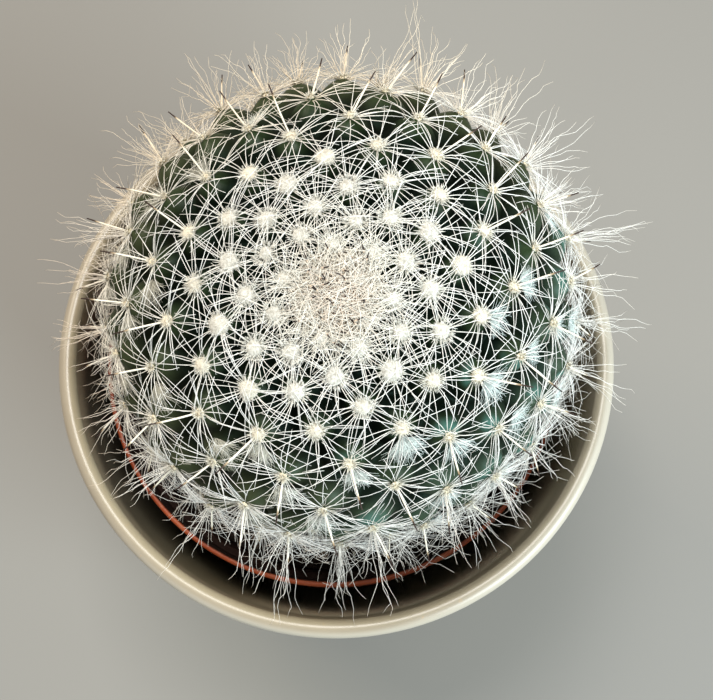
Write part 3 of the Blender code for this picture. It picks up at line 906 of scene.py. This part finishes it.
def growCrown(light, dark):
    share = np.sqrt((np.arange(crown["mats"]) + 0.5) / crown["mats"])
    polar = np.radians(crown["spread"]) * share
    azimuth = np.radians(crown["turn"]) * np.arange(crown["mats"]) + crown["firstTurn"]
    tip, axis, outward = crownPlaces(polar, azimuth)
    tip += (1 - share ** 2)[:, None] * axis * crown["lift"] * mm
    draws = np.random.default_rng(crown["seed"])
    mats = pointMesh(tip, axis=axis, outward=outward, young=np.clip(1.1 - polar / np.radians(6), 0, 1),
                     turn=draws.random(crown["mats"]))
    place(grow("crownSpines", mats, spineGraph(light, 3, 9), crownSpines), "spines", "cactus")
    few = draws.permutation(crown["mats"])[:crown["tips"]]
    tip += axis * crown["tipLift"] * mm
    tips = pointMesh(tip[few], axis=axis[few], outward=outward[few], young=1.0,
                     turn=draws.random(crown["tips"]))
    place(grow("crownTips", tips, spineGraph(dark, 5, 6), crownTips), "spines")


def makeCrownWool(wool):
    # a low dome, closed below
    reach, steps, rings = math.radians(crownWool["reach"]), crownWool["steps"], crownWool["rings"]
    polar = np.linspace(0, reach, rings)[:, None] + np.zeros(steps)
    azimuth = np.linspace(0, math.tau, steps, endpoint=False)[None] + np.zeros((rings, 1))
    where, normal, _ = crownPlaces(polar, azimuth)
    height = (1 - (polar / reach) ** 2) * crown["lift"] - crownWool["sunk"]
    dome, under = where + normal * height[..., None] * mm, where - normal * crownWool["depth"] * mm
    verts = [*dome[1:].reshape(-1, 3), *under[-1], dome[0, 0], under[0, 0]]
    last = (rings - 1) * steps
    pairs = [(i, (i + 1) % steps) for i in range(steps)]
    faces = []
    for row in range(0, last, steps):
        faces += [(row + i, row + steps + i, row + steps + j, row + j) for i, j in pairs]
    faces += [(len(verts) - 2, i, j) for i, j in pairs]
    faces += [(len(verts) - 1, last + j, last + i) for i, j in pairs]
    mesh = bpy.data.meshes.new("crownWool")
    mesh.from_pydata([tuple(v) for v in verts], [], faces)
    pink = mesh.attributes.new("young", "FLOAT", "POINT")
    middle, up = Vector(dome[0, 0]), Vector(normal[0, 0])
    for i, vertex in enumerate(mesh.vertices):
        pink.data[i].value = 1 - (vertex.co - middle).length / (crownWool["pinkReach"] * mm)
        if i < last:
            lump = noise.noise(vertex.co / (0.7 * mm)) + 0.6 * noise.noise(vertex.co / (0.3 * mm))
            vertex.co += up * lump * crownWool["lumps"] * mm
    mesh.shade_smooth()
    mesh.materials.append(wool.material)
    return added("crownWool", mesh)


crownCream = makeSpine("cream crown spine", (0.60, 0.53, 0.43), (0.85, 0.83, 0.76), (0.88, 0.87, 0.81), 0.6)
crownCream.tintYoung((0.78, 0.62, 0.51), 0.6)
darkTipped = makeSpine("young central spine", (0.74, 0.64, 0.52), (0.50, 0.36, 0.27),
                       (0.014, 0.005, 0.004), 0.25, 0.36)
growCrown(crownCream, darkTipped)
place(makeCrownWool(makeCrownColour()), "spines", "cactus")
print("crown made")


# Silky tufts in the axils, thickest on the side that faces the viewer and the window

# from and to are degrees from the crown, and side is the way the tufts lie from there, in radians;
# reach and amount each say their least and their spread
litTufts = {
    "from": 33, "to": 80, "side": -0.75, "scatter": 0.045,
    "reach": (0.75, 0.5), "amount": (0.6, 0.7), "seed": 23,
}
shadedTufts = {
    "from": 40, "to": 73, "side": 3.55, "scatter": 0.06,
    "reach": (1.05, 0.35), "amount": (0.5, 0.35), "seed": 26,
}
axilWool = {
    "Count": 150.0, "Length": 2.4 * mm, "Length Spread": 0.5, "Rise": 0.22, "Rise Spread": 0.35,
    "Swing": 1.7, "Root Ring": 1.6 * mm, "Curl": 0.2, "Side Curl": 0.55, "Wave": 0.25,
    "Wave Count": 1.8, "Thickness": 0.075 * mm, "Tip": 0.5, "Seed": 31,
}


def pickTufts(tufts, chance, taken=()):
    # the areoles that carry a tuft, each by its own chance, and how the tufts differ
    draws = np.random.default_rng(tufts["seed"])
    rows = (areolePolar > np.radians(tufts["from"])) & (areolePolar < np.radians(tufts["to"]))
    rows = np.setdiff1d(areoleIndex[rows & (chance > 0)], taken)
    rows = rows[draws.random(len(rows)) < chance[rows]]
    azimuth = areoleAzimuth[rows] + draws.normal(0, tufts["scatter"], len(rows))
    reach = tufts["reach"][0] + tufts["reach"][1] * draws.random(len(rows))
    turn = draws.random(len(rows))
    return rows, azimuth, reach, turn, tufts["amount"][0] + tufts["amount"][1] * draws.random(len(rows))


def growTufts(silk):
    lit = pickTufts(litTufts, 0.12 + 0.78 * facing(areoleAzimuth, litTufts["side"]))
    near = facing(areoleAzimuth, shadedTufts["side"]) > 0.45
    shaded = pickTufts(shadedTufts, np.where(near, 0.75, 0), lit[0])
    rows, azimuth, reach, turn, amount = [np.append(*pair) for pair in zip(lit, shaded)]
    tip, axis, outward = stemPlaces(areolePolar[rows] + np.radians(2.2), azimuth)
    # the shaded ones hang toward the viewer
    last = slice(len(lit[0]), None)
    viewer = np.array((0.25, -0.95, -0.2))
    outward[last] = unit(viewer - (axis[last] @ viewer)[:, None] * axis[last])
    tip[last] += (outward[last] * 1.8 - axis[last] * 0.5) * mm
    points = pointMesh(tip - axis * 0.5 * mm, axis=axis, outward=outward, turn=turn,
                       amount=amount, reach=reach)
    place(grow("axilWool", points, spineGraph(silk, 3, 4), axilWool), "spines")


# painted light and shade: the axil wool is bluish white where the window light falls, cream toward the left
# and grey on the left
silk = makeSpine("axil wool", (0.80, 0.89, 0.88), (0.79, 0.89, 0.88), (0.75, 0.86, 0.86), 0.7,
                 roughness=0.7)
silk.tintAcross(towardLeft, -20, 30, (0.88, 0.84, 0.74))
silk.tintAcross(towardLeft, 4, 22, (0.52, 0.51, 0.43), 0.75)
growTufts(silk)
print("axil wool made")


# Finer, wavier hairs tangle among the outer rows' spines

tangledHairs = {
    "Count": 31.0, "Length": 8.0 * mm, "Length Spread": 0.35, "Rise": 0.25, "Rise Spread": 0.45,
    "Sweep": 0.25, "Root Ring": 0.8 * mm, "Curl": 0.12, "Side Curl": 0.8, "Droop": 0.05,
    "Wave": 0.34, "Wave Count": 2.2, "Thickness": 0.10 * mm, "Tip": 0.5, "Seed": 52,
}
tangle = {"from": 54, "fullerFrom": 42, "seed": 24}    # degrees from the crown

draws = np.random.default_rng(tangle["seed"])
rows = areoleIndex[areolePolar > np.radians(tangle["from"])]
# more of them further out, few at the back and longer ones under the waist in front
amount = np.clip((areolePolar[rows] - np.radians(tangle["fullerFrom"])) / 0.84, 0.2, 1.3)
amount *= 1 - 0.75 * facing(areoleAzimuth[rows], 1.1)
skirt = facing(areoleAzimuth[rows], -1.2) * rising(areolePolar[rows], 1.25, 0.3)
knots = onAreoles(rows, -0.3, turn=draws.random(len(rows)), amount=amount + 0.3 * skirt,
                  reach=0.8 + 0.4 * draws.random(len(rows)) + 0.3 * skirt)
place(grow("tangledHairs", knots, spineGraph(hair, 3, 8), tangledHairs), "spines")
print("tangled hairs made")


# Long wavy hairs stand out of the outer rows in bundles, and the fullest ones are listed one by one,
# each as its areole, its lean in degrees, its hairs, its length in millimetres and how far it opens

fullBundles = [
    (113, -35, 8, 18, 0.9), (100, 28, 7, 17, 1), (108, 25, 10, 17, 1), (95, 0, 6, 15, 1),
    (116, 4, 7, 16, 0.8), (103, -15, 4, 16, 0.5), (103, 22, 7, 15, 1), (124, 0, 4, 15, 0.7),
    (111, 12, 6, 16, 0.6), (98, 22, 3, 13, 0.6), (109, -2, 10, 14, 0.25), (96, 10, 9, 15, 0.25),
    (122, 0, 6, 12, 1), (114, 0, 5, 12, 1), (117, -6, 6, 13, 0.7), (104, 0, 6, 14, 0.6),
    (125, 0, 5, 12, 0.6), (112, 0, 6, 12, 0.8), (107, 0, 7, 11, 1), (115, 0, 5, 12, 1),
    (120, 0, 6, 11, 1), (102, 0, 5, 9, 1), (110, 20, 5, 12, 1), (97, 15, 5, 12, 1),
    (105, 0, 5, 10, 1), (106, 0, 5, 11, 1), (119, 0, 4, 11, 1), (88, 5, 4, 14, 0.5),
]
bundles = {"from": 60, "each": 2, "kept": 0.7, "hairs": 4.5, "length": 9.0, "aside": 0.5, "seed": 25}
fringe = {
    "from": 61, "middle": 98, "half": 80,    # degrees from the crown, and round the back
    "each": 3, "hairs": 4.5, "length": 8.5, "aside": 0.85, "seed": 27,
}
longHairs = {
    "Count": 1.0, "Length": 1.0 * mm, "Length Spread": 0.25, "Rise": 1.05, "Rise Spread": 0.28,
    "Swing": 0.95, "Root Ring": 0.8 * mm, "Curl": 0.06, "Side Curl": 0.36, "Droop": 0.08,
    "Wave": 0.17, "Wave Count": 2.6, "Thickness": 0.12 * mm, "Tip": 0.45, "Seed": 44,
}


def drawBundles(draws):
    rows = np.repeat(areoleIndex[areolePolar > np.radians(bundles["from"])], bundles["each"])
    rows = rows[draws.random(len(rows)) < bundles["kept"]]
    count = bundles["hairs"] * (0.5 + draws.random(len(rows)))
    length = bundles["length"] * (0.7 + 0.6 * draws.random(len(rows)))
    return rows, draws.normal(0, bundles["aside"], len(rows)), count, length, np.ones(len(rows))


def drawFringe():
    # the back rows carry a fringe of finer ones
    draws = np.random.default_rng(fringe["seed"])
    away = np.degrees(np.angle(np.exp(1j * (areoleAzimuth - np.radians(fringe["middle"])))))
    rows = areoleIndex[(areolePolar > np.radians(fringe["from"])) & (np.abs(away) < fringe["half"])]
    rows = np.repeat(rows, fringe["each"])
    bias = draws.normal(0, fringe["aside"], len(rows))
    count = fringe["hairs"] * (0.6 + 0.8 * draws.random(len(rows)))
    return rows, bias, count, fringe["length"] * (0.75 + 0.5 * draws.random(len(rows))), np.ones(len(rows))


draws = np.random.default_rng(bundles["seed"])
areole, leaning, count, length, opening = np.array(fullBundles).T
placed = areole.astype(int), np.radians(leaning), count, length, opening
groups = zip(drawBundles(draws), placed, drawFringe())
rows, bias, count, length, opening = [np.concatenate(group) for group in groups]
heading = areoleOutward[rows] * np.cos(bias)[:, None] + areoleSide[rows] * np.sin(bias)[:, None]
strands = onAreoles(rows, -0.4, outward=heading, turn=draws.random(len(rows)), amount=count, reach=length,
                    open=opening)
place(grow("longHairs", strands, spineGraph(hair, 3, 12), longHairs), "spines")
print("long hairs made")


# Camera and studio: the camera stands where the photograph's did, in millimetres, degrees and pixels

cameraView = {
    "distance": 220, "elevation": 75.74,    # from the middle of the outer pot's rim
    "pictureWidth": 713, "pictureHeight": 700,
    "rimColumn": 336.3, "rimRow": 350.7,    # where the rim's middle falls
    "lensPixels": 1226.5,
    "filmWidth": 36,
}

studio = {"floorSize": 900, "skyColour": (1.0, 0.98, 0.94), "skyStrength": 0.38}

# each light's place, aim and size in millimetres, its power and its colour
softboxes = {
    "window": ((410, -360, 400), (0, 0, 90), (400, 340), 5.5, (0.87, 0.985, 1.0)),
    "lamp": ((-330, 300, 480), (0, 0, 100), (260, 220), 2.0, (1.0, 0.89, 0.70)),
    "overhead": ((-40, 140, 620), (0, 0, 88), (190, 190), 2.1, (1.0, 0.98, 0.95)),
}


def makeCamera():
    view = cameraView
    middle = Vector((0, 0, outerPot["height"] * mm))
    tilt = math.radians(view["elevation"])
    back = Vector((0, -math.cos(tilt), math.sin(tilt)))
    up = Vector((0, math.sin(tilt), math.cos(tilt)))
    # the camera turns so that the rim's middle falls where the photograph has it
    aside = (view["rimColumn"] - view["pictureWidth"] / 2) / view["lensPixels"]
    above = (view["pictureHeight"] / 2 - view["rimRow"]) / view["lensPixels"]
    forward = (-back - Vector((aside, 0, 0)) - up * above).normalized()
    right = forward.cross(Vector((0, 0, 1))).normalized()
    up = right.cross(forward)
    camera = added("camera", bpy.data.cameras.new("camera"))
    camera.data.sensor_width = view["filmWidth"]
    camera.data.lens = view["lensPixels"] / view["pictureWidth"] * view["filmWidth"]
    camera.data.clip_start = 5 * mm
    turn = Matrix((right, up, -forward)).transposed().to_4x4()
    camera.matrix_world = Matrix.Translation(middle + back * view["distance"] * mm) @ turn
    scene.camera = camera


def makeStudio():
    sheet = bmesh.new()
    bmesh.ops.create_grid(sheet, x_segments=1, y_segments=1, size=studio["floorSize"] * mm)
    paper = Finish("pale floor", {"Roughness": 0.8, "Specular IOR Level": 0.2})
    paper.feed("Base Color", paper.noise(6, 2.0).mix((0.245, 0.238, 0.226), (0.28, 0.272, 0.257)))
    floor = added("floor", meshOf("floor", sheet))
    floor.data.materials.append(paper.material)
    scene.world = bpy.data.worlds.new("studio")
    scene.world.use_nodes = True
    background = scene.world.node_tree.nodes["Background"]
    background.inputs["Color"].default_value = (*studio["skyColour"], 1)
    background.inputs["Strength"].default_value = studio["skyStrength"]
    for name, (at, aim, size, power, colour) in softboxes.items():
        light = bpy.data.lights.new(name, "AREA")
        light.shape = "RECTANGLE"
        light.size, light.size_y = size[0] * mm, size[1] * mm
        light.energy = power
        light.color = colour
        lamp = added(name, light)
        lamp.location = Vector(at) * mm
        lamp.rotation_euler = (Vector(aim) * mm - lamp.location).to_track_quat("-Z", "Y").to_euler()


makeCamera()
makeStudio()
print("camera and studio made")

scene.view_settings.view_transform = "Standard"
